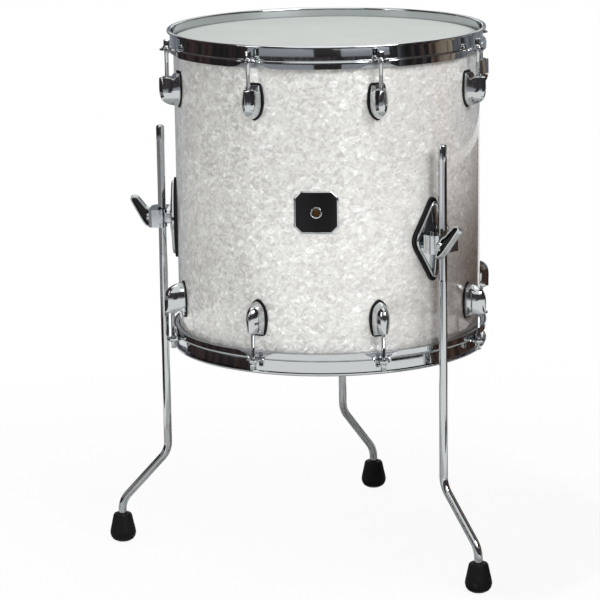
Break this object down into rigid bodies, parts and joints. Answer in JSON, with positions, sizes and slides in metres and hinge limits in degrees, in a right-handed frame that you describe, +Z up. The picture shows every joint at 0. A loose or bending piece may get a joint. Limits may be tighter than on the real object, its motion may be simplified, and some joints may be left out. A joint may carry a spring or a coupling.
{
  "type": "floor tom",
  "caption": "Deep cylindrical drum on three bent clamped legs with rubber feet, pearl wrap, metal hoops, lugs, tension rods and a playing head on top.",
  "frame": {"origin": "on the floor, at the middle of the part's bounding box; the drum's axis stands 43 mm to +X and 36 mm to -Y of it", "axes": "+Z up along the drum's axis, -Y the badge side, +X to the right of someone who faces the badge"},
  "size_m": [0.5318, 0.5176, 0.7168],
  "materials": {
    "pearl_wrap": "white marine pearl sheet, glossy",
    "shell_wood": "lacquered plies",
    "coated_film": "rough white coating on polyester film",
    "clear_film": "clear polyester film",
    "flesh_hoop": "rolled, bare",
    "chrome_hoop": "pressed steel, chrome plated",
    "chrome_cast": "die cast zinc, chrome plated",
    "chrome_rod": "drawn steel, chrome plated",
    "chrome_trim": "polished",
    "black_gasket": "moulded, matt",
    "foot_rubber": "moulded, slightly worn",
    "badge_black": "gloss black plate with a bright line border"
  },
  "bodies": {
    "drum": {"shell": "shell_wood", "shell_wrap": "pearl_wrap", "batter_head": "coated_film", "resonant_head": "clear_film", "batter_flesh_hoop": "flesh_hoop", "resonant_flesh_hoop": "flesh_hoop", "batter_hoop": "chrome_hoop", "resonant_hoop": "chrome_hoop", "badge": "badge_black", "vent_grommet": "chrome_trim", "top_lug_1": "chrome_cast", "bottom_lug_1": "chrome_cast", "top_lug_2": "chrome_cast", "bottom_lug_2": "chrome_cast", "top_lug_3": "chrome_cast", "bottom_lug_3": "chrome_cast", "top_lug_4": "chrome_cast", "bottom_lug_4": "chrome_cast", "top_lug_5": "chrome_cast", "bottom_lug_5": "chrome_cast", "top_lug_6": "chrome_cast", "bottom_lug_6": "chrome_cast", "top_lug_7": "chrome_cast", "bottom_lug_7": "chrome_cast", "top_lug_8": "chrome_cast", "bottom_lug_8": "chrome_cast", "left_bracket_gasket": "black_gasket", "left_bracket_base": "chrome_cast", "right_bracket_gasket": "black_gasket", "right_bracket_base": "chrome_cast", "back_bracket_gasket": "black_gasket", "back_bracket_base": "chrome_cast"},
    "left_leg_rod": {"left_leg": "chrome_rod", "left_foot": "foot_rubber"},
    "left_jaw": {"left_clamp_jaw": "chrome_cast"},
    "left_wing": {"left_wing_screw": "chrome_cast"},
    "right_leg_rod": {"right_leg": "chrome_rod", "right_foot": "foot_rubber"},
    "right_jaw": {"right_clamp_jaw": "chrome_cast"},
    "right_wing": {"right_wing_screw": "chrome_cast"},
    "back_leg_rod": {"back_leg": "chrome_rod", "back_foot": "foot_rubber"},
    "back_jaw": {"back_clamp_jaw": "chrome_cast"},
    "back_wing": {"back_wing_screw": "chrome_cast"},
    "top_rod_1": {"top_tension_rod_1": "chrome_rod"},
    "bottom_rod_1": {"bottom_tension_rod_1": "chrome_rod"},
    "top_rod_2": {"top_tension_rod_2": "chrome_rod"},
    "bottom_rod_2": {"bottom_tension_rod_2": "chrome_rod"},
    "top_rod_3": {"top_tension_rod_3": "chrome_rod"},
    "bottom_rod_3": {"bottom_tension_rod_3": "chrome_rod"},
    "top_rod_4": {"top_tension_rod_4": "chrome_rod"},
    "bottom_rod_4": {"bottom_tension_rod_4": "chrome_rod"},
    "top_rod_5": {"top_tension_rod_5": "chrome_rod"},
    "bottom_rod_5": {"bottom_tension_rod_5": "chrome_rod"},
    "top_rod_6": {"top_tension_rod_6": "chrome_rod"},
    "bottom_rod_6": {"bottom_tension_rod_6": "chrome_rod"},
    "top_rod_7": {"top_tension_rod_7": "chrome_rod"},
    "bottom_rod_7": {"bottom_tension_rod_7": "chrome_rod"},
    "top_rod_8": {"top_tension_rod_8": "chrome_rod"},
    "bottom_rod_8": {"bottom_tension_rod_8": "chrome_rod"}
  },
  "joints": [
    {"name": "left_leg_slide", "type": "slide", "parent": "drum", "child": "left_leg_rod", "axis": [0, 0, 1], "range_m": [-0.1, 0.2]},
    {"name": "left_clamp_hinge", "type": "hinge", "parent": "drum", "child": "left_jaw", "pos_m": [-0.18286, -0.04676, 0.4575], "axis": [0, 0, 1], "range_deg": [0, 5]},
    {"name": "left_wing_turn", "type": "hinge", "parent": "left_jaw", "child": "left_wing", "pos_m": [-0.20016, -0.01446, 0.4545], "axis": [-1, 0, 0], "continuous": true},
    {"name": "right_leg_slide", "type": "slide", "parent": "drum", "child": "right_leg_rod", "axis": [0, 0, 1], "range_m": [-0.1, 0.2]},
    {"name": "right_clamp_hinge", "type": "hinge", "parent": "drum", "child": "right_jaw", "pos_m": [0.21041, -0.18806, 0.4575], "axis": [0, 0, 1], "range_deg": [0, 5]},
    {"name": "right_wing_turn", "type": "hinge", "parent": "right_jaw", "child": "right_wing", "pos_m": [0.1998, -0.22313, 0.4545], "axis": [0.7071, -0.7071, 0], "continuous": true},
    {"name": "back_leg_slide", "type": "slide", "parent": "drum", "child": "back_leg_rod", "axis": [0, 0, 1], "range_m": [-0.1, 0.2]},
    {"name": "back_clamp_hinge", "type": "hinge", "parent": "drum", "child": "back_jaw", "pos_m": [0.03224, 0.18994, 0.4575], "axis": [0, 0, 1], "range_deg": [0, 5]},
    {"name": "back_wing_turn", "type": "hinge", "parent": "back_jaw", "child": "back_wing", "pos_m": [0.06454, 0.20724, 0.4545], "axis": [0, 1, 0], "continuous": true},
    {"name": "top_rod_1_turn", "type": "hinge", "parent": "drum", "child": "top_rod_1", "pos_m": [-0.04131, 0.16766, 0.6979], "axis": [0, 0, 1], "continuous": true},
    {"name": "bottom_rod_1_turn", "type": "hinge", "parent": "drum", "child": "bottom_rod_1", "pos_m": [-0.04131, 0.16766, 0.3079], "axis": [0, 0, -1], "continuous": true},
    {"name": "top_rod_2_turn", "type": "hinge", "parent": "drum", "child": "top_rod_2", "pos_m": [-0.16059, 0.04838, 0.6979], "axis": [0, 0, 1], "continuous": true},
    {"name": "bottom_rod_2_turn", "type": "hinge", "parent": "drum", "child": "bottom_rod_2", "pos_m": [-0.16059, 0.04838, 0.3079], "axis": [0, 0, -1], "continuous": true},
    {"name": "top_rod_3_turn", "type": "hinge", "parent": "drum", "child": "top_rod_3", "pos_m": [-0.16059, -0.1203, 0.6979], "axis": [0, 0, 1], "continuous": true},
    {"name": "bottom_rod_3_turn", "type": "hinge", "parent": "drum", "child": "bottom_rod_3", "pos_m": [-0.16059, -0.1203, 0.3079], "axis": [0, 0, -1], "continuous": true},
    {"name": "top_rod_4_turn", "type": "hinge", "parent": "drum", "child": "top_rod_4", "pos_m": [-0.04131, -0.23958, 0.6979], "axis": [0, 0, 1], "continuous": true},
    {"name": "bottom_rod_4_turn", "type": "hinge", "parent": "drum", "child": "bottom_rod_4", "pos_m": [-0.04131, -0.23958, 0.3079], "axis": [0, 0, -1], "continuous": true},
    {"name": "top_rod_5_turn", "type": "hinge", "parent": "drum", "child": "top_rod_5", "pos_m": [0.12738, -0.23958, 0.6979], "axis": [0, 0, 1], "continuous": true},
    {"name": "bottom_rod_5_turn", "type": "hinge", "parent": "drum", "child": "bottom_rod_5", "pos_m": [0.12738, -0.23958, 0.3079], "axis": [0, 0, -1], "continuous": true},
    {"name": "top_rod_6_turn", "type": "hinge", "parent": "drum", "child": "top_rod_6", "pos_m": [0.24666, -0.1203, 0.6979], "axis": [0, 0, 1], "continuous": true},
    {"name": "bottom_rod_6_turn", "type": "hinge", "parent": "drum", "child": "bottom_rod_6", "pos_m": [0.24666, -0.1203, 0.3079], "axis": [0, 0, -1], "continuous": true},
    {"name": "top_rod_7_turn", "type": "hinge", "parent": "drum", "child": "top_rod_7", "pos_m": [0.24666, 0.04838, 0.6979], "axis": [0, 0, 1], "continuous": true},
    {"name": "bottom_rod_7_turn", "type": "hinge", "parent": "drum", "child": "bottom_rod_7", "pos_m": [0.24666, 0.04838, 0.3079], "axis": [0, 0, -1], "continuous": true},
    {"name": "top_rod_8_turn", "type": "hinge", "parent": "drum", "child": "top_rod_8", "pos_m": [0.12738, 0.16766, 0.6979], "axis": [0, 0, 1], "continuous": true},
    {"name": "bottom_rod_8_turn", "type": "hinge", "parent": "drum", "child": "bottom_rod_8", "pos_m": [0.12738, 0.16766, 0.3079], "axis": [0, 0, -1], "continuous": true}
  ]
}
